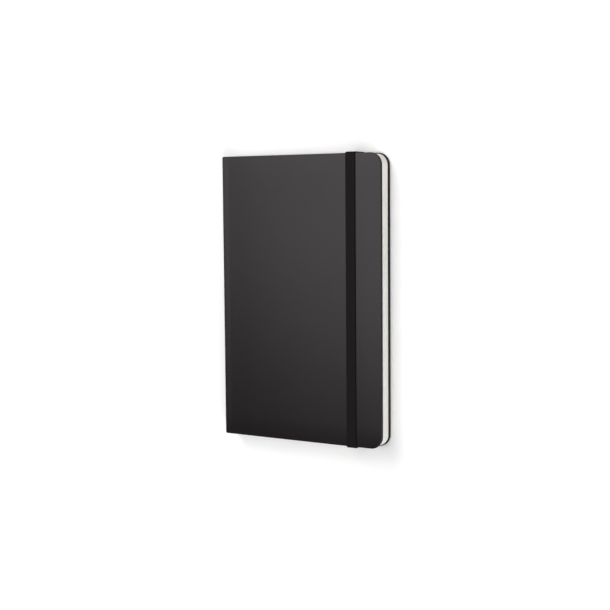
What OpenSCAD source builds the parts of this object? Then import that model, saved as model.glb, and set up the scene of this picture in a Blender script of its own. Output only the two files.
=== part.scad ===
// Pocket notebook: case-bound, sewn signatures, elastic closure strap.
// It lies on its back cover. X runs from the spine (-X) to the fore edge (+X),
// Y from tail to head and Z up through the thickness. Millimetres.

/* [Case] */
// Width of the covers, from spine to fore edge
case_w = 90; // [80:0.5:110]
// Height of the covers, from tail to head
case_h = 140; // [130:0.5:170]
// Thickness of the closed notebook without the strap
case_t = 9.3; // [9:0.1:14]
// Radius of the two fore-edge corners of each cover
corner_r = 6; // [3:0.5:9]
// Thickness of a whole cover: wrap, board and pastedown
cover_t = 1.3; // [1.2:0.05:2]
// Thickness of the covering material
wrap_t = 0.25; // [0.2:0.05:0.35]
// Thickness of a pastedown sheet
paste_t = 0.15; // [0.1:0.05:0.2]
// Width of the covering material turned in round each pastedown
turn_in = 2.5; // [2:0.5:6]
// Distance from the spine to the edge of each board
joint_w = 4; // [3:0.5:6]

/* [Leaves] */
// Distance from a cover's edge to the leaves, at head, tail and fore edge
square_w = 0.5; // [0.3:0.1:3]
// Thickness of a free endpaper
flyleaf_t = 0.12; // [0.1:0.01:0.2]
// Running gap between pieces that lie on each other
gap = 0.02; // [0.01:0.01:0.03]

/* [Pocket] */
// Width of the expanding pocket
pocket_w = 76; // [60:1:80]
// Height of the expanding pocket
pocket_h = 126; // [100:1:130]
// Thickness of the closed pocket
pocket_t = 0.5; // [0.4:0.05:0.8]
// Thickness of the pocket's front panel
panel_t = 0.25; // [0.2:0.05:0.3]
// Width of each folded gusset strip
gusset_w = 9; // [6:1:12]

/* [Strap] */
// Width of the elastic strap
strap_w = 5.2; // [4:0.1:8]
// Thickness of the elastic strap
strap_t = 0.6; // [0.4:0.05:0.7]
// Distance from the fore edge to the strap's middle
strap_inset = 16.35; // [12:0.05:25]
// Distance from a cover's edge to the slot that an end of the strap goes through
slot_inset = 8; // [6:0.5:12]
// Length of each glued end, under the back pastedown
tab_l = 9; // [6:0.5:14]

/* [Hidden] */

$fn = 48;
eps = 0.01;

// Outside of the case
spine_x = -case_w / 2;
fore_x = case_w / 2;
head_y = case_h / 2;

// Levels through the thickness
inside_bottom = cover_t;
inside_top = case_t - cover_t;
signature_count = 8;
leaves_bottom = inside_bottom + pocket_t + gap;
signatures_bottom = leaves_bottom + flyleaf_t + gap;
signatures_top = inside_top - flyleaf_t - 2 * gap;
signature_pitch = (signatures_top - signatures_bottom) / signature_count;
signature_t = signature_pitch - gap;

// Layers of the spine, from the outside in
card_t = 0.5;
lining_t = 0.15;
thread_d = 0.14;
card_x = spine_x + wrap_t;
lining_x = card_x + card_t + gap;
card_h = case_h - 1;
thread_x = lining_x + lining_t + thread_d / 2;
leaves_x = thread_x + thread_d / 2 + gap;
spine_bottom = inside_bottom + gap;
spine_h = inside_top - inside_bottom - 2 * gap;

// Edges and corners of the covers and leaves
edge_step_h = 0.5;
edge_step_w = 0.17;
spine_corner_r = 0.8;
leaf_corner_r = max(corner_r - square_w, 0.5);
leaf_fold_r = 0.5;

// Groove that each cover folds along, beside the spine
groove_x = spine_x + joint_w;
groove_r = 1.2;
groove_depth = 0.25;

// Pastedowns
paste_x = spine_x + 1;
paste_corner_r = max(corner_r - turn_in, 0.5);

// Pocket
pocket_x = spine_x + 6;
pocket_corner_r = 4;
pocket_fold_r = 1;
gusset_x = pocket_x + 2;
gusset_y = pocket_h / 2 - gusset_w - 1;
gusset_t = pocket_t - panel_t;

// Sewing stations, as fractions of the height of the leaves
leaves_h = case_h - 2 * square_w;
lining_h = leaves_h - 6;
stations = [-0.44, -0.27, -0.09, 0.09, 0.27, 0.44];
stitch_l = 8;

// Strap
strap_x = fore_x - strap_inset;
strap_gap = 0.05;
strap_outer_y = head_y + strap_gap + strap_t;
channel_w = strap_w + 0.4;
channel_d = strap_t + strap_gap;
slot_w = strap_t + 0.2;
slot_y = head_y - slot_inset;
tab_t = 0.4;
tab_w = strap_w - 0.4;
tab_clear = 0.3;
tab_z = cover_t - paste_t - tab_t;

cover_black = "#222224";
strap_black = "#141415";
ivory = "#efe9da";
grey_board = "#8d877c";
pocket_paper = "#e4dcc6";
linen = "#262628";
thread_white = "#e9e6dd";

// Flat outline of a cover or leaf, with two round fore-edge corners.
module plate_outline(x0, x1, h, fore_r, spine_r) {
    translate([x0 + spine_r, -h / 2]) square([x1 - fore_r - x0 - spine_r, h]);
    translate([x0, -h / 2 + spine_r]) square([x1 - fore_r - x0, h - 2 * spine_r]);
    translate([x1 - fore_r - eps, -h / 2 + fore_r]) square([fore_r + eps, h - 2 * fore_r]);
    for (s = [-1, 1]) {
        translate([x1 - fore_r, s * (h / 2 - fore_r)]) circle(fore_r);
        translate([x0 + spine_r, s * (h / 2 - spine_r)]) circle(spine_r);
    }
}

// A flat sheet with round fore-edge corners.
module sheet(x0, x1, h, fore_r, spine_r, z0, t) {
    translate([0, 0, z0])
        linear_extrude(t)
            plate_outline(x0, x1, h, fore_r, spine_r);
}

// The covering of one cover: outer skin, edges and turned-in margin, with the
// outside face at z = 0 and the inside face at z = cover_t.
module cover_wrap() {
    difference() {
        union() {
            sheet(spine_x, fore_x, case_h, corner_r, spine_corner_r, edge_step_h, cover_t - edge_step_h);
            sheet(
                spine_x + edge_step_w, fore_x - edge_step_w, case_h - 2 * edge_step_w,
                corner_r - edge_step_w, spine_corner_r, 0, edge_step_h + eps
            );
        }
        board_space();
        paste_space(paste_t + eps);
        translate([groove_x, -case_h / 2 - 1, groove_depth - groove_r])
            rotate([-90, 0, 0])
                cylinder(r = groove_r, h = case_h + 2);
    }
}

// The room that a board takes inside its wrap.
module board_space() {
    sheet(
        groove_x + groove_r, fore_x - wrap_t, case_h - 2 * wrap_t,
        corner_r - wrap_t, spine_corner_r, wrap_t, cover_t - wrap_t - paste_t
    );
}

// The room of a pastedown, let into the inside face of its cover.
module paste_space(t) {
    sheet(
        paste_x, fore_x - turn_in, case_h - 2 * turn_in,
        paste_corner_r, spine_corner_r, cover_t - paste_t, t
    );
}

// Moves a back-cover piece to the front cover by mirroring it.
module to_front() {
    translate([0, 0, case_t]) mirror([0, 0, 1]) children();
}

// Room for both ends of the strap: channel, slot and glued tab.
module strap_cuts() {
    for (s = [-1, 1]) {
        translate([strap_x - channel_w / 2, s > 0 ? slot_y : -head_y - 1, -eps])
            cube([channel_w, slot_inset + 1, channel_d + eps]);
        translate([strap_x - channel_w / 2, s * slot_y - slot_w / 2, -eps])
            cube([channel_w, slot_w, cover_t - paste_t + eps]);
        translate([strap_x - channel_w / 2, s > 0 ? slot_y - tab_l - tab_clear : -slot_y, tab_z])
            cube([channel_w, tab_l + tab_clear, tab_t]);
    }
}

module back_wrap() {
    color(cover_black)
        difference() {
            cover_wrap();
            strap_cuts();
        }
}

module back_board() {
    color(grey_board)
        difference() {
            board_space();
            strap_cuts();
        }
}

module back_pastedown() {
    color(ivory) paste_space(paste_t);
}

module front_wrap() {
    color(cover_black) to_front() cover_wrap();
}

module front_board() {
    color(grey_board) to_front() board_space();
}

module front_pastedown() {
    color(ivory) to_front() paste_space(paste_t);
}

// Front panel of the pocket, open towards the fore edge.
module pocket_panel() {
    color(pocket_paper)
        sheet(
            pocket_x, pocket_x + pocket_w, pocket_h, pocket_corner_r, pocket_fold_r,
            inside_bottom + gusset_t, panel_t
        );
}

// Folded cloth gusset that joins one end of the panel to the back cover.
module pocket_gusset(side) {
    color(linen)
        translate([gusset_x, side > 0 ? gusset_y : -gusset_y - gusset_w, inside_bottom])
            cube([pocket_w - 2 * (gusset_x - pocket_x) - pocket_corner_r, gusset_w, gusset_t]);
}

// One fixed end of the strap: it lies flush in the channel of the back cover,
// turns in through the slot and is glued under the pastedown.
module strap_end_head() {
    color(strap_black) {
        translate([strap_x - strap_w / 2, slot_y - strap_t / 2, 0])
            cube([strap_w, strap_outer_y - slot_y + strap_t / 2, strap_t]);
        translate([strap_x - tab_w / 2, slot_y - strap_t / 2, 0])
            cube([tab_w, strap_t, cover_t - paste_t]);
        translate([strap_x - tab_w / 2, slot_y - tab_l, tab_z])
            cube([tab_w, tab_l, tab_t]);
    }
}

module strap_end_tail() {
    mirror([0, 1, 0]) strap_end_head();
}

// The stretched part of the strap: down one edge, over the front and back down.
module elastic_strap() {
    leg_z = strap_t + gap;
    run_z = case_t + strap_gap;
    color(strap_black) {
        translate([strap_x - strap_w / 2, -strap_outer_y, run_z])
            cube([strap_w, 2 * strap_outer_y, strap_t]);
        for (s = [-1, 1])
            translate([strap_x - strap_w / 2, s > 0 ? strap_outer_y - strap_t : -strap_outer_y, leg_z])
                cube([strap_w, strap_t, run_z + strap_t - leg_z]);
    }
}

// Layers of the spine.
module spine_layer(x0, t, h) {
    translate([x0, -h / 2, spine_bottom]) cube([t, h, spine_h]);
}

module spine_wrap() {
    color(cover_black) spine_layer(spine_x, wrap_t, case_h);
}

module spine_card() {
    color(grey_board) spine_layer(card_x, card_t, card_h);
}

module spine_lining() {
    color(linen) spine_layer(lining_x, lining_t, lining_h);
}

// Thread that links the folds of the signatures at each sewing station.
module sewing_thread() {
    color(thread_white)
        for (f = stations, s = [-1, 1])
            translate([thread_x, f * leaves_h + s * stitch_l / 2, signatures_bottom])
                cylinder(d = thread_d, h = signatures_top - signatures_bottom);
}

// A group of folded leaves. Number 1 lies nearest to the front cover.
module signature(number) {
    color(ivory)
        sheet(
            leaves_x, fore_x - square_w, leaves_h, leaf_corner_r, leaf_fold_r,
            signatures_top - number * signature_pitch + gap, signature_t
        );
}

module flyleaf(z0) {
    color(ivory)
        sheet(leaves_x, fore_x - square_w, leaves_h, leaf_corner_r, leaf_fold_r, z0, flyleaf_t);
}

module flyleaf_front() {
    flyleaf(inside_top - gap - flyleaf_t);
}

module flyleaf_rear() {
    flyleaf(leaves_bottom);
}

back_wrap();
back_board();
back_pastedown();
pocket_panel();
pocket_gusset(1);  // pocket_gusset_head
pocket_gusset(-1);  // pocket_gusset_tail
strap_end_head();
strap_end_tail();
spine_wrap();
spine_card();
spine_lining();
sewing_thread();
flyleaf_rear();
signature(8);  // signature_8
signature(7);  // signature_7
signature(6);  // signature_6
signature(5);  // signature_5
signature(4);  // signature_4
signature(3);  // signature_3
signature(2);  // signature_2
signature(1);  // signature_1
flyleaf_front();
front_pastedown();
front_board();
front_wrap();
elastic_strap();
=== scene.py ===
import math
import random

import bmesh
import bpy
from mathutils import Matrix, Vector, noise


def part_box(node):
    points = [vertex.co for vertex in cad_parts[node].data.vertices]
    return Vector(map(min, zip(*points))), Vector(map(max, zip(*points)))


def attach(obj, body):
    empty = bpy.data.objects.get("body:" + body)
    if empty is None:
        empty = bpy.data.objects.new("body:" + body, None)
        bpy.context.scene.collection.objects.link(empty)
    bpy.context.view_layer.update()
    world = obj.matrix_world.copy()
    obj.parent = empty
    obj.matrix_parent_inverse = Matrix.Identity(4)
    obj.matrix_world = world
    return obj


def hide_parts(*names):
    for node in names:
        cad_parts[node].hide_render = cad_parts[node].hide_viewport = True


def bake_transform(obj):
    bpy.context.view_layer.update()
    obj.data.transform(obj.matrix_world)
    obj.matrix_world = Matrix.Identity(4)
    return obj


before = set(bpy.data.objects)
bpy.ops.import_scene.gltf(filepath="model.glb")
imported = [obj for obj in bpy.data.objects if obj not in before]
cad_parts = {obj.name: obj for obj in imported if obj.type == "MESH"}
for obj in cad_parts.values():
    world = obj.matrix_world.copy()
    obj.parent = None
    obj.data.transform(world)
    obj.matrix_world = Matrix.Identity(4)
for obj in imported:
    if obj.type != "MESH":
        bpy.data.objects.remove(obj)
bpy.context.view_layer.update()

# Pocket notebook lying on its back cover: X runs from spine to fore edge, Y from
# tail to head, Z up. Every length is in metres and every place comes from the frame.
MM = 0.001

# Covers
CORNER_R = 6 * MM
SPINE_CORNER_R = 0.8 * MM
SMALLEST_CORNER_R = 0.1 * MM
OUTLINE_STEPS = 12
EDGE_R = 0.35 * MM
EDGE_STEPS = 5
SPINE_EDGE_R = 0.12 * MM
INNER_EDGE_R = 0.12 * MM
INNER_EDGE_STEPS = 3
SPINE_CORNER_STEPS = 8
SHADED_RIM_SLOPE = 0.8  # a cover's face is rim where its normal rises less than this; rim faces get painted shade
GROOVE_X = 4 * MM
GROOVE_FALL_W = 2.1 * MM
GROOVE_RISE_W = 12 * MM
GROOVE_DEPTH = 0.14 * MM
WAVE_LENGTH = 38 * MM
WAVE_HEIGHT = 0.03 * MM
FINE_CUT = 0.4 * MM
COARSE_CUT = 5 * MM
SHARP_ANGLE = math.radians(38)

# Grain of the cover cloth
PEBBLE = 0.34 * MM
PEBBLE_DEPTH = 0.022 * MM
FINE_GRAIN = 0.16 * MM
FINE_GRAIN_DEPTH = 0.012 * MM

# A wave texture of scale WAVE_SCALE / p repeats about every p along an axis.
WAVE_SCALE = 0.31

# Leaves
SHEETS_PER_SIGNATURE = 4
PAPER_FILL = 0.9
LEAF_BEND = 9 * MM
LEAF_BEND_STEPS = 14
LEAF_CORNER_STEPS = 10
FOLD_STEPS = 6
TRIM_SCATTER = 0.02 * MM

# Strap
RIBS = 11
RIB_DEPTH = 0.05 * MM
SAMPLES_PER_RIB = 4
SELVEDGE_STEPS = 6
BAND_PLAY = 0.01 * MM
TURN_R = 0.75 * MM
TURN_STEPS = 8
LEG_STEP = 0.5 * MM
RUN_STEP = 4 * MM
TAB_L = 9 * MM
TAB_STEP = 1 * MM
SLOT_HALF = 1 * MM
SLOT_STEPS = 8
CHANNEL_PLAY = 0.2 * MM


# ---------------------------------------------------------------- materials

class Nodes:
    """A material's node tree, with short calls for the nodes used here."""

    def __init__(self, name):
        self.material = bpy.data.materials.new(name)
        self.material.use_nodes = True
        self.tree = self.material.node_tree
        self.shader = self.tree.nodes["Principled BSDF"]
        self.place = self.tree.nodes.new("ShaderNodeTexCoord").outputs["Object"]

    def add(self, kind, inputs=None, **settings):
        node = self.tree.nodes.new(kind)
        for key, value in settings.items():
            setattr(node, key, value)
        for key, value in (inputs or {}).items():
            self.feed(node.inputs[key], value)
        return node

    def feed(self, socket, value):
        if isinstance(value, bpy.types.NodeSocket):
            self.tree.links.new(value, socket)
        else:
            socket.default_value = value

    def noise(self, size, detail=3.0, vector=None):
        inputs = {"Vector": vector or self.place, "Scale": 1 / size, "Detail": detail}
        return self.add("ShaderNodeTexNoise", inputs).outputs["Fac"]

    def waves(self, pitch, direction, vector=None, **inputs):
        inputs.update(Vector=vector or self.place, Scale=WAVE_SCALE / pitch)
        return self.add("ShaderNodeTexWave", inputs, bands_direction=direction).outputs["Fac"]

    def math(self, operation, a, b):
        return self.add("ShaderNodeMath", {0: a, 1: b}, operation=operation).outputs[0]

    def spread(self, value, low, high):
        """Maps 0.3 to 0.7, where noise mostly lies, onto low to high."""
        inputs = {"Value": value, "From Min": 0.3, "From Max": 0.7, "To Min": low, "To Max": high}
        return self.add("ShaderNodeMapRange", inputs).outputs["Result"]

    def colours(self, value, *stops):
        ramp = self.add("ShaderNodeValToRGB", {"Fac": value})
        ends = ramp.color_ramp.elements
        for element, (position, colour) in zip(ends, stops):
            element.position = position
            element.color = (*colour, 1)
        for position, colour in stops[2:]:
            ends.new(position).color = (*colour, 1)
        return ramp.outputs["Color"]

    def stretched(self, x, y, z):
        inputs = {"Vector": self.place, "Scale": (x, y, z)}
        return self.add("ShaderNodeMapping", inputs).outputs["Vector"]

    def bump(self, height, depth, below=None):
        inputs = {"Height": height, "Distance": depth, "Strength": 1.0}
        if below is not None:
            inputs["Normal"] = below
        return self.add("ShaderNodeBump", inputs).outputs["Normal"]

    def set(self, **values):
        for key, value in values.items():
            self.feed(self.shader.inputs[key.replace("_", " ")], value)
        return self.material


def cover_material(name, specular):
    """Smooth black cover cloth: pebbled grain finer than half a millimetre.

    The rim has its own copy with a lower specular level: painted shade, which keeps the rim darker
    as shade on that side would."""
    n = Nodes(name)
    cells = n.add("ShaderNodeTexVoronoi", {"Vector": n.place, "Scale": 1 / PEBBLE},
                  feature="SMOOTH_F1").outputs["Distance"]
    broad = n.noise(24 * MM, 2.0)
    fine = n.noise(FINE_GRAIN, 4.0)
    tone = n.math("ADD", n.math("MULTIPLY", broad, 0.6), n.math("MULTIPLY", fine, 0.4))
    grain = n.bump(cells, PEBBLE_DEPTH)
    grain = n.bump(fine, FINE_GRAIN_DEPTH, grain)
    return n.set(
        Base_Color=n.colours(tone, (0.3, (0.0046, 0.0034, 0.0037)),
                             (0.7, (0.0074, 0.0056, 0.0061))),
        Roughness=n.spread(n.noise(3 * MM, 5.0), 0.365, 0.395),
        Specular_IOR_Level=specular,
        Specular_Tint=(1.0, 0.93, 0.965, 1),
        Normal=grain,
    )


def paper_material(name, dark, light, tooth):
    """Ivory uncoated paper with soft fibres."""
    n = Nodes(name)
    fibres = n.noise(0.35 * MM, 5.0, n.stretched(1, 0.35, 1))
    clouds = n.noise(9 * MM, 3.0)
    tone = n.math("ADD", n.math("MULTIPLY", fibres, 0.8), n.math("MULTIPLY", clouds, 0.2))
    return n.set(
        Base_Color=n.colours(tone, (0.35, dark), (0.65, light)),
        Roughness=n.spread(clouds, 0.78, 0.88),
        Specular_IOR_Level=0.25,
        Normal=n.bump(fibres, tooth),
    )


def board_material():
    """Grey board: pressed pulp with light and dark flecks."""
    n = Nodes("grey_board")
    flecks = n.noise(0.5 * MM, 6.0)
    return n.set(
        Base_Color=n.colours(flecks, (0.3, (0.20, 0.185, 0.16)), (0.7, (0.36, 0.34, 0.30))),
        Roughness=n.spread(flecks, 0.85, 0.95),
        Normal=n.bump(flecks, 0.05 * MM),
    )


def woven_material(name, dark, light, pitch):
    """Plain weave: threads along Y cross threads along X and Z."""
    n = Nodes(name)
    across = n.waves(pitch, "DIAGONAL", n.stretched(1, 0, 1))
    along = n.waves(pitch, "Y")
    weave = n.math("MAXIMUM", across, along)
    slub = n.noise(1.2 * MM, 4.0)
    return n.set(
        Base_Color=n.colours(n.math("MULTIPLY", weave, slub), (0.1, dark), (0.6, light)),
        Roughness=n.spread(slub, 0.8, 0.92),
        Normal=n.bump(weave, 0.06 * MM),
    )


def elastic_material():
    """Matt black elastic: short stitches across the ribs, with a faint fuzz."""
    n = Nodes("elastic_black")
    turned = n.add("ShaderNodeSeparateXYZ", {"Vector": n.place})
    run = n.math("ADD", turned.outputs["Y"], turned.outputs["Z"])
    path = n.add("ShaderNodeCombineXYZ", {"X": turned.outputs["X"], "Y": run}).outputs["Vector"]
    stitches = n.waves(0.42 * MM, "Y", path, Distortion=1.2, Detail=2.0)
    fuzz = n.noise(0.12 * MM, 4.0)
    tone = n.math("ADD", n.math("MULTIPLY", stitches, 0.4), n.math("MULTIPLY", fuzz, 0.6))
    surface = n.bump(fuzz, 0.02 * MM, n.bump(stitches, 0.03 * MM))
    return n.set(
        Base_Color=n.colours(tone, (0.25, (0.0068, 0.0056, 0.0056)),
                             (0.75, (0.0140, 0.0118, 0.0116))),
        Roughness=n.spread(fuzz, 0.8, 0.92),
        Specular_IOR_Level=0.1,
        Normal=surface,
    )


def thread_material():
    """Waxed linen thread with a twist."""
    n = Nodes("thread")
    twist = n.waves(0.25 * MM, "DIAGONAL")
    return n.set(
        Base_Color=n.colours(twist, (0.2, (0.55, 0.52, 0.46)), (0.8, (0.78, 0.75, 0.69))),
        Roughness=n.spread(twist, 0.55, 0.7),
        Normal=n.bump(twist, 0.02 * MM),
    )


COVER = cover_material("cover_black", 0.5)
# Shaded copy of the cover: its lower specular level is painted shade on the rim.
COVER_RIM_PAINTED_SHADE = cover_material("cover_rim_painted_shade", 0.2)
PAGE_FACE = paper_material("page_face", (0.80, 0.76, 0.675), (0.84, 0.80, 0.715), 0.012 * MM)
# The cut edges are a lighter, whiter copy of the page paper: painted light on the edges of the
# leaves.
CUT_EDGE_PAINTED_LIGHT = paper_material("cut_paper_edge_painted_light", (0.91, 0.895, 0.86), (0.95, 0.94, 0.91), 0.012 * MM)
LEAF_PAPERS = [PAGE_FACE, CUT_EDGE_PAINTED_LIGHT]
POCKET_PAPER = paper_material("pocket_paper", (0.68, 0.63, 0.52), (0.76, 0.71, 0.60), 0.02 * MM)
BOARD = board_material()
LINEN = woven_material("linen", (0.010, 0.010, 0.011), (0.035, 0.034, 0.036), 0.3 * MM)
ELASTIC = elastic_material()
THREAD = thread_material()


# ------------------------------------------------------------- mesh helpers

def outline(x0, x1, half_h, fore_r, spine_r):
    """Rounded rectangle, anticlockwise, with its own radius on the spine side."""
    corners = (
        (x0 + spine_r, -half_h + spine_r, spine_r, 180),
        (x1 - fore_r, -half_h + fore_r, fore_r, 270),
        (x1 - fore_r, half_h - fore_r, fore_r, 0),
        (x0 + spine_r, half_h - spine_r, spine_r, 90),
    )
    points = []
    for cx, cy, r, start in corners:
        for i in range(OUTLINE_STEPS + 1):
            a = math.radians(start + 90 * i / OUTLINE_STEPS)
            points.append((cx + r * math.cos(a), cy + r * math.sin(a)))
    return points


def loft(rings):
    """A bmesh skin over rings of equally many 3-D points, capped at both ends."""
    bm = bmesh.new()
    loops = [[bm.verts.new(p) for p in ring] for ring in rings]
    count = len(loops[0])
    for a, b in zip(loops, loops[1:]):
        for i in range(count):
            j = (i + 1) % count
            bm.faces.new((a[i], a[j], b[j], b[i]))
    bm.faces.new(loops[0])
    bm.faces.new(loops[-1])
    bmesh.ops.recalc_face_normals(bm, faces=bm.faces)
    return bm


def stacked(*levels):
    """Rings for loft from (outline points, z) pairs."""
    return [[(x, y, z) for x, y in points] for points, z in levels]


def slice_at(bm, axis, places):
    """Cuts every face along planes across one axis, so that it can bend there."""
    normal = Vector((axis == 0, axis == 1, axis == 2))
    for place in places:
        geometry = bm.verts[:] + bm.edges[:] + bm.faces[:]
        bmesh.ops.bisect_plane(bm, geom=geometry, dist=1e-7,
                               plane_co=normal * place, plane_no=normal)


def steps_between(low, high, size):
    """Places between low and high, without them, about size apart."""
    count = max(1, round((high - low) / size))
    return [low + (high - low) * i / count for i in range(1, count)]


def in_scene(name, data):
    made = bpy.data.objects.new(name, data)
    bpy.context.scene.collection.objects.link(made)
    return made


def mesh_from(name, bm):
    mesh = bpy.data.meshes.new(name)
    bm.to_mesh(mesh)
    bm.free()
    return mesh


def piece(name, bm, materials, slot_name, *replaced):
    """Turns a bmesh into a shown piece that stands for CAD nodes."""
    mesh = mesh_from(name, bm)
    mesh.shade_smooth()
    mesh.set_sharp_from_angle(angle=SHARP_ANGLE)
    for material in materials:
        mesh.materials.append(material)
    made = in_scene(name, mesh)
    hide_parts(*replaced)
    return made


# ------------------------------------------------------------------- covers

spine_low, spine_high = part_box("spine_wrap")
board_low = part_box("front_board")[0]
SPINE_X = spine_low.x


def bend_cuts():
    """Fine cuts across the joint and the groove."""
    return steps_between(SPINE_X, board_low.x + GROOVE_RISE_W, FINE_CUT)


def hollow(x):
    """How far the outer face of a cover sinks at x, in the groove and beside it."""
    past_groove = x - SPINE_X - GROOVE_X
    from_groove = past_groove / (GROOVE_RISE_W if past_groove > 0 else GROOVE_FALL_W)
    return GROOVE_DEPTH * math.exp(-from_groove ** 2)


def cover_skin(name, cover, pastedown, outward):
    """Covering of one cover: outer face, rounded rim, turned-in margin and recess."""
    low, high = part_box(cover)
    paste_low, paste_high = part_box(pastedown)
    z_out, z_in = (high.z, low.z) if outward > 0 else (low.z, high.z)
    paste_t = paste_high.z - paste_low.z
    margin = high.x - paste_high.x

    def edge(inset, spine_inset):
        return outline(low.x + spine_inset, high.x - inset, high.y - inset,
                       CORNER_R - inset, max(SPINE_CORNER_R - inset, SMALLEST_CORNER_R))

    paste_edge = outline(paste_low.x, paste_high.x, paste_high.y, CORNER_R - margin, SPINE_CORNER_R)
    levels = []
    for i in range(EDGE_STEPS + 1):
        a = math.radians(90 * i / EDGE_STEPS)
        inward = 1 - math.sin(a)
        z = z_out - outward * EDGE_R * (1 - math.cos(a))
        levels.append((edge(EDGE_R * inward, SPINE_EDGE_R * inward), z))
    for i in range(INNER_EDGE_STEPS + 1):
        a = math.radians(90 * i / INNER_EDGE_STEPS)
        inset = INNER_EDGE_R * (1 - math.cos(a))
        levels.append((edge(inset, 0), z_in + outward * INNER_EDGE_R * (1 - math.sin(a))))
    levels.append((paste_edge, z_in))
    levels.append((paste_edge, z_in + outward * paste_t))
    bm = loft(stacked(*levels))
    slice_at(bm, 0, bend_cuts())
    slice_at(bm, 0, steps_between(board_low.x + GROOVE_RISE_W, high.x - CORNER_R, COARSE_CUT))
    slice_at(bm, 1, steps_between(low.y + CORNER_R, high.y - CORNER_R, COARSE_CUT))
    for v in bm.verts:
        toward_outside = (v.co.z - z_in) / (z_out - z_in)
        wave = WAVE_HEIGHT * (1 + noise.noise(v.co / WAVE_LENGTH)) * 0.5
        v.co.z -= outward * max(toward_outside, 0) * (hollow(v.co.x) + wave)
    bm.normal_update()
    # Rim faces take the shaded copy of the cover: painted shade on the rim.
    for face in bm.faces:
        face.material_index = int(abs(face.normal.z) < SHADED_RIM_SLOPE)
    return piece(name, bm, [COVER, COVER_RIM_PAINTED_SHADE], "cover_black", cover)


def pastedown_sheet(name, node):
    """Endpaper glued inside a cover, cut across the joint so that it could bend there."""
    low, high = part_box(node)
    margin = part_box("front_wrap")[1].x - high.x
    edge = outline(low.x, high.x, high.y, CORNER_R - margin, SPINE_CORNER_R)
    bm = loft(stacked((edge, low.z), (edge, high.z)))
    slice_at(bm, 0, bend_cuts())
    return piece(name, bm, LEAF_PAPERS, "ivory_paper", node)


def spine_skin():
    """Covering of the spine: a thin wall turned in round the card at head and tail."""
    front_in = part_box("front_wrap")[0].z
    back_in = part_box("back_wrap")[1].z
    card_low, card_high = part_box("spine_card")
    profile = []
    for side in (-1, 1):
        arc = []
        for i in range(SPINE_CORNER_STEPS + 1):
            a = math.radians(90 * i / SPINE_CORNER_STEPS)
            arc.append((
                spine_low.x + SPINE_CORNER_R * (1 - math.cos(a)),
                side * (spine_high.y - SPINE_CORNER_R * (1 - math.sin(a))),
            ))
        hook = [(card_high.x, side * spine_high.y), (card_high.x, side * card_high.y),
                (card_low.x, side * card_high.y)]
        arc += hook
        profile += arc[::-1] if side < 0 else arc
    bm = loft(stacked((profile, back_in), (profile, front_in)))
    return piece("spine_skin", bm, [COVER], "cover_black", "spine_wrap")


def cut_strap_channels(skin):
    """Cuts the two channels, with their slots, that the strap's ends lie in."""
    cutters = []
    strap_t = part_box("elastic_strap")[0].z
    for node in ("strap_end_head", "strap_end_tail"):
        low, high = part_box(node)
        side = 1 if high.y > 0 else -1
        inner_y = (low.y if side > 0 else high.y) + side * TAB_L
        outer_y = side * (max(abs(low.y), abs(high.y)) + MM)
        y0, y1 = sorted((inner_y, outer_y))
        bm = bmesh.new()
        bmesh.ops.create_cube(bm, size=1)
        size = (high.x - low.x + 2 * CHANNEL_PLAY, y1 - y0, 2 * strap_t)
        bmesh.ops.transform(bm, verts=bm.verts, matrix=Matrix.Diagonal((*size, 1)))
        bmesh.ops.translate(bm, verts=bm.verts, vec=((low.x + high.x) / 2, (y0 + y1) / 2, 0))
        cutter = in_scene("channel_cutter", mesh_from("channel_cutter", bm))
        cutters.append(cutter)
        cut = skin.modifiers.new("channel", "BOOLEAN")
        cut.operation = "DIFFERENCE"
        cut.solver = "EXACT"
        cut.object = cutter
    graph = bpy.context.evaluated_depsgraph_get()
    graph.update()
    result = bpy.data.meshes.new_from_object(skin.evaluated_get(graph))
    skin.modifiers.clear()
    skin.data = result
    for cutter in cutters:
        bpy.data.objects.remove(cutter)


# ------------------------------------------------------------------- leaves

def half_height(x, x_fore, full, corner):
    """Half of a leaf's height at x, where the fore-edge corners are round."""
    past = x - (x_fore - corner)
    if past <= 0:
        return full
    return full - corner + math.sqrt(max(corner ** 2 - past ** 2, 0))


def leg_places(x_fold, x_fore, corner):
    """Stations along a flat leaf, from the fore edge to the fold."""
    places = []
    for i in range(LEAF_CORNER_STEPS + 1):
        a = math.radians(90 * i / LEAF_CORNER_STEPS)
        places.append(x_fore - corner + corner * math.cos(a))
    bend = x_fold + LEAF_BEND
    places.append(bend)
    places += steps_between(x_fold, bend, LEAF_BEND / LEAF_BEND_STEPS)[::-1]
    places.append(x_fold)
    return places


def paper_sheet(bm, path, thickness, height_at):
    """One sheet swept along (x, z, normal x, normal z) stations.

    Its two broad sides are page faces, and its narrow sides and ends are cut edges, in the lighter
    copy of the paper that paints light on them."""
    rings = []
    for x, z, nx, nz in path:
        h = height_at(x)
        outer = (x + nx * thickness / 2, z + nz * thickness / 2)
        inner = (x - nx * thickness / 2, z - nz * thickness / 2)
        corners = ((outer, -h), (outer, h), (inner, h), (inner, -h))
        rings.append([bm.verts.new((at[0], y, at[1])) for at, y in corners])
    for a, b in zip(rings, rings[1:]):
        for i in range(4):
            j = (i + 1) % 4
            face = bm.faces.new((a[i], a[j], b[j], b[i]))
            face.material_index = i % 2
    for ring in (rings[0][::-1], rings[-1]):
        bm.faces.new(ring).material_index = 1


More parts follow.
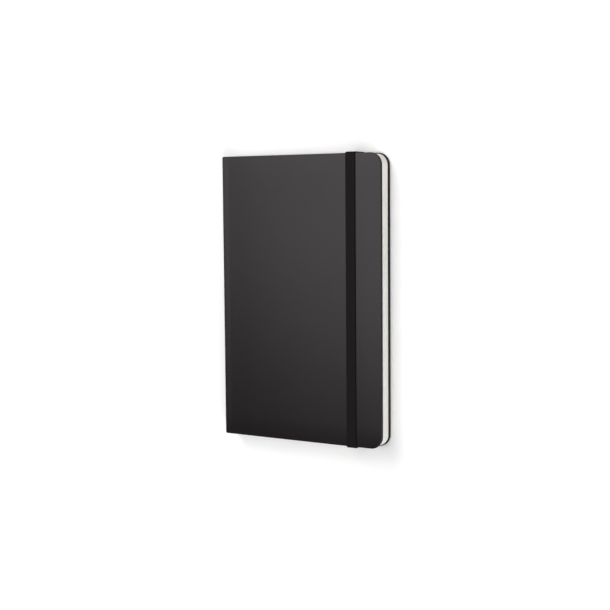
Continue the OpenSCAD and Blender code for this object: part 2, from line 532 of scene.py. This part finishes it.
def folded_sheets(name, node):
    """A signature: sheets folded one inside the other, trimmed at three edges."""
    low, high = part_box(node)
    corner = CORNER_R - (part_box("front_wrap")[1].x - high.x)
    pitch = (high.z - low.z) / (2 * SHEETS_PER_SIGNATURE)
    thickness = PAPER_FILL * pitch
    centre = (low.x + (high.z - low.z) / 2, (low.z + high.z) / 2)
    scatter = random.Random(name)
    bm = bmesh.new()
    for sheet in range(SHEETS_PER_SIGNATURE):
        radius = (high.z - low.z) / 2 - (sheet + 0.5) * pitch
        path = []
        for side in (1, -1):
            trim = scatter.uniform(0, TRIM_SCATTER)
            leg = [
                (x, centre[1] + side * radius, 0, side)
                for x in leg_places(centre[0], high.x - trim, corner)
            ]
            path += leg if side > 0 else leg[::-1]
            if side > 0:
                for i in range(1, FOLD_STEPS):
                    a = math.radians(90 + 180 * i / FOLD_STEPS)
                    nx, nz = math.cos(a), math.sin(a)
                    path.append((centre[0] + radius * nx, centre[1] + radius * nz, nx, nz))
        full = high.y - scatter.uniform(0, TRIM_SCATTER)
        paper_sheet(bm, path, thickness, lambda x: half_height(x, high.x, full, corner))
    bmesh.ops.recalc_face_normals(bm, faces=bm.faces)
    return piece(name, bm, LEAF_PAPERS, "ivory_paper", node)


def flat_leaf(name, node):
    """A single free endpaper."""
    low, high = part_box(node)
    corner = CORNER_R - (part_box("front_wrap")[1].x - high.x)
    z = (low.z + high.z) / 2
    bm = bmesh.new()
    path = [(x, z, 0, 1) for x in leg_places(low.x, high.x, corner)]
    paper_sheet(bm, path, high.z - low.z, lambda x: half_height(x, high.x, high.y, corner))
    bmesh.ops.recalc_face_normals(bm, faces=bm.faces)
    return piece(name, bm, LEAF_PAPERS, "ivory_paper", node)


def bend_leaf(leaf):
    """Bakes a leaf's transform into its mesh."""
    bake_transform(leaf)


# -------------------------------------------------------------------- strap

strap_low, strap_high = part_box("elastic_strap")
STRAP_T = strap_low.z
STRAP_X = (strap_low.x + strap_high.x) / 2


def band_section():
    """Cross-section of the elastic: ribs along both faces, round selvedges."""
    half_w = (strap_high.x - strap_low.x) / 2
    half_t = STRAP_T / 2 - BAND_PLAY
    flat = half_w - half_t
    samples = RIBS * SAMPLES_PER_RIB
    section = []
    for side in (1, -1):
        for i in range(samples + 1):
            u = side * flat * (2 * i / samples - 1)
            rib = RIB_DEPTH * (0.5 + 0.5 * math.cos(2 * math.pi * RIBS * i / samples))
            section.append((u, side * (half_t - rib)))
        for i in range(1, SELVEDGE_STEPS):
            a = math.radians(90 - 180 * i / SELVEDGE_STEPS)
            reach = half_t - RIB_DEPTH
            section.append((side * (flat + reach * math.cos(a)), side * reach * math.sin(a)))
    return section


def band(name, route, node):
    """Elastic band of the strap's section, swept along (y, z) points."""
    rings = []
    for i, (y, z) in enumerate(route):
        before, after = route[max(i - 1, 0)], route[min(i + 1, len(route) - 1)]
        along = Vector((0, after[0] - before[0], after[1] - before[1])).normalized()
        out = Vector((1, 0, 0)).cross(along)
        rings.append([Vector((STRAP_X + u, y, z)) + out * v for u, v in band_section()])
    return piece(name, loft(rings), [ELASTIC], "elastic_black", node)


def straight(a, b, size):
    """Points from a towards b, without b, about size apart."""
    count = max(1, round(math.dist(a, b) / size))
    run, rise = b[0] - a[0], b[1] - a[1]
    return [(a[0] + run * i / count, a[1] + rise * i / count) for i in range(count)]


def turn(centre, radius, start, end):
    """Points on an arc between two angles in degrees, without the last."""
    points = []
    for i in range(TURN_STEPS):
        a = math.radians(start + (end - start) * i / TURN_STEPS)
        points.append((centre[0] + radius * math.cos(a), centre[1] + radius * math.sin(a)))
    return points


def strap_route():
    """Up the tail edge, over the front cover and down the head edge."""
    y = strap_high.y - STRAP_T / 2
    top = strap_high.z - STRAP_T / 2
    route = straight((-y, strap_low.z), (-y, top - TURN_R), LEG_STEP)
    route += turn((-y + TURN_R, top - TURN_R), TURN_R, 180, 90)
    route += straight((-y + TURN_R, top), (y - TURN_R, top), RUN_STEP)
    route += turn((y - TURN_R, top - TURN_R), TURN_R, 90, 0)
    route += straight((y, top - TURN_R), (y, strap_low.z), LEG_STEP)
    return route + [(y, strap_low.z)]


def strap_end_route(side):
    """From the glued tab, through the slot and along the back cover to its edge."""
    low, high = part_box("strap_end_head")
    y = strap_high.y - STRAP_T / 2
    z = STRAP_T / 2
    slot_y = low.y + TAB_L
    tab_z = high.z - STRAP_T / 2
    route = straight((low.y, tab_z), (slot_y - SLOT_HALF, tab_z), TAB_STEP)
    for i in range(SLOT_STEPS + 1):
        t = i / SLOT_STEPS
        ease = t * t * (3 - 2 * t)
        route.append((slot_y - SLOT_HALF + 2 * SLOT_HALF * t, tab_z + (z - tab_z) * ease))
    route += straight((slot_y + 1.2 * SLOT_HALF, z), (y - z, z), TAB_STEP)
    route += turn((y - z, 2 * z), z, -90, 0)
    route.append((y, strap_low.z))
    return [(side * a, b) for a, b in route]


# ----------------------------------------------------------- build and ride

front_skin = cover_skin("front_skin", "front_wrap", "front_pastedown", 1)
back_skin = cover_skin("back_skin", "back_wrap", "back_pastedown", -1)
cut_strap_channels(back_skin)
front_paper = pastedown_sheet("front_pastedown_sheet", "front_pastedown")
back_paper = pastedown_sheet("back_pastedown_sheet", "back_pastedown")
for made, cover_body in ((front_skin, "front_cover"), (front_paper, "front_cover"),
                         (back_skin, "back_cover"), (back_paper, "back_cover")):
    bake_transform(made)
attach(spine_skin(), "spine")

for number in range(1, 9):
    source = f"signature_{number}"
    bend_leaf(folded_sheets(f"{source}_sheets", source))
bend_leaf(flat_leaf("flyleaf_front_sheet", "flyleaf_front"))
bend_leaf(flat_leaf("flyleaf_rear_sheet", "flyleaf_rear"))

strap = band("elastic_strap_band", strap_route(), "elastic_strap")
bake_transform(strap)
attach(band("strap_end_head_band", strap_end_route(1), "strap_end_head"), "back_cover")
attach(band("strap_end_tail_band", strap_end_route(-1), "strap_end_tail"), "back_cover")

CAD_MATERIALS = {
    "front_board": BOARD,
    "back_board": BOARD,
    "spine_card": BOARD,
    "spine_lining": LINEN,
    "pocket_gusset_head": LINEN,
    "pocket_gusset_tail": LINEN,
    "pocket_panel": POCKET_PAPER,
    "sewing_thread": THREAD,
}
for node, material in CAD_MATERIALS.items():
    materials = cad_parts[node].data.materials
    materials.clear()
    materials.append(material)


# ------------------------------------------------------------ stage, camera

FLOOR_SIZE = 2.8
FLOOR_MOTTLE = 60 * MM
# Painted shade and light on the floor: the glow is low near the notebook and high far out.
GLOW_START = 60 * MM
GLOW_END = 260 * MM
GLOW_LOW = 0.1
GLOW_HIGH = 0.32
BACKDROP_RADIUS = 3.9
BACKDROP_HEIGHT = 4.0
BACKDROP_SEGMENTS = 96
BACKDROP_MOTTLE = 0.5
WORLD_STRENGTH = 0.06
CAMERA_TARGET = Vector((0.13, -3.22, 4.65)) * MM
CAMERA_DISTANCE = 609.4 * MM
CAMERA_AZIMUTH = math.radians(8.99)
CAMERA_ELEVATION = math.radians(58.10)
CAMERA_ROLL = math.radians(0.478)
CAMERA_LENS = 73.39
CAMERA_SENSOR = 36


def towards(azimuth, elevation):
    """Unit vector from the notebook to a place at these angles, in radians."""
    return Vector((
        math.cos(elevation) * math.cos(azimuth),
        math.cos(elevation) * math.sin(azimuth),
        math.sin(elevation),
    ))


def add_camera():
    """Camera above the fore edge, with the head of the notebook up in the frame."""
    data = bpy.data.cameras.new("camera")
    data.lens = CAMERA_LENS
    data.sensor_width = CAMERA_SENSOR
    camera = in_scene("camera", data)
    back = towards(CAMERA_AZIMUTH, CAMERA_ELEVATION)
    right = Vector((0, 1, 0)).cross(back).normalized()
    up = back.cross(right)
    up = up * math.cos(CAMERA_ROLL) + right * math.sin(CAMERA_ROLL)
    right = up.cross(back)
    axes = Matrix((right, up, back)).transposed().to_4x4()
    camera.matrix_world = Matrix.Translation(CAMERA_TARGET + back * CAMERA_DISTANCE) @ axes
    bpy.context.scene.camera = camera


def floor_material():
    """White glowing floor with the faintest mottling: its glow is painted light, weaker near its
    middle so that the notebook's shadow stays dark there, and stronger away from it.
    """
    n = Nodes("studio_floor")
    mottle = n.noise(FLOOR_MOTTLE, 2.0)
    from_middle = n.add("ShaderNodeVectorMath", {0: n.place}, operation="LENGTH").outputs["Value"]
    # Painted shade near the notebook, painted light further out.
    glow = n.add("ShaderNodeMapRange", {
        "Value": from_middle, "From Min": GLOW_START, "From Max": GLOW_END,
        "To Min": GLOW_LOW, "To Max": GLOW_HIGH,
    }).outputs["Result"]
    return n.set(
        Base_Color=n.colours(mottle, (0.3, (0.93, 0.93, 0.93)), (0.7, (0.95, 0.95, 0.95))),
        Roughness=0.9,
        Specular_IOR_Level=0.1,
        Emission_Color=(1, 1, 1, 1),
        Emission_Strength=glow,
    )


def add_floor():
    bm = bmesh.new()
    bmesh.ops.create_grid(bm, x_segments=8, y_segments=8, size=FLOOR_SIZE / 2)
    mesh = mesh_from("floor", bm)
    mesh.materials.append(floor_material())
    floor = in_scene("floor", mesh)


def backdrop_material():
    """Evenly lit pale paper wall with the faintest mottling."""
    n = Nodes("studio_backdrop")
    mottle = n.noise(BACKDROP_MOTTLE, 2.0)
    shade = n.colours(mottle, (0.3, (0.97, 0.97, 0.97)), (0.7, (1.0, 1.0, 1.0)))
    return n.set(Base_Color=(0, 0, 0, 1), Emission_Color=shade, Emission_Strength=1.0,
                 Roughness=1.0, Specular_IOR_Level=0.0)


def add_backdrop():
    """Round wall behind the floor. It is seen directly but lights and reflects nothing."""
    bm = bmesh.new()
    bmesh.ops.create_cone(bm, segments=BACKDROP_SEGMENTS, radius1=BACKDROP_RADIUS,
                          radius2=BACKDROP_RADIUS, depth=BACKDROP_HEIGHT)
    bmesh.ops.reverse_faces(bm, faces=bm.faces)
    mesh = mesh_from("backdrop", bm)
    mesh.materials.append(backdrop_material())
    wall = in_scene("backdrop", mesh)
    wall.visible_diffuse = False
    wall.visible_glossy = False
    wall.visible_transmission = False
    wall.visible_shadow = False


def add_softbox(name, azimuth, elevation, distance, size, power):
    """Round softbox that shines at the notebook, at angles in degrees."""
    data = bpy.data.lights.new(name, "AREA")
    data.shape = "DISK"
    data.size = size
    data.energy = power
    light = in_scene(name, data)
    direction = towards(math.radians(azimuth), math.radians(elevation))
    light.location = direction * distance
    light.visible_camera = False
    light.rotation_euler = direction.to_track_quat("Z", "Y").to_euler()


def add_world():
    world = bpy.data.worlds.new("studio")
    world.use_nodes = True
    sky = world.node_tree.nodes["Background"]
    sky.inputs["Color"].default_value = (1, 1, 1, 1)
    sky.inputs["Strength"].default_value = WORLD_STRENGTH
    bpy.context.scene.world = world


bpy.context.scene.view_settings.view_transform = "Standard"
add_camera()
add_floor()
add_backdrop()
add_world()
add_softbox("key", azimuth=120, elevation=35, distance=2.0, size=1.4, power=17)
add_softbox("fill", azimuth=-42, elevation=40, distance=2.0, size=1.6, power=26)
add_softbox("cover_glow", azimuth=132, elevation=71, distance=0.34, size=0.38, power=0.66)
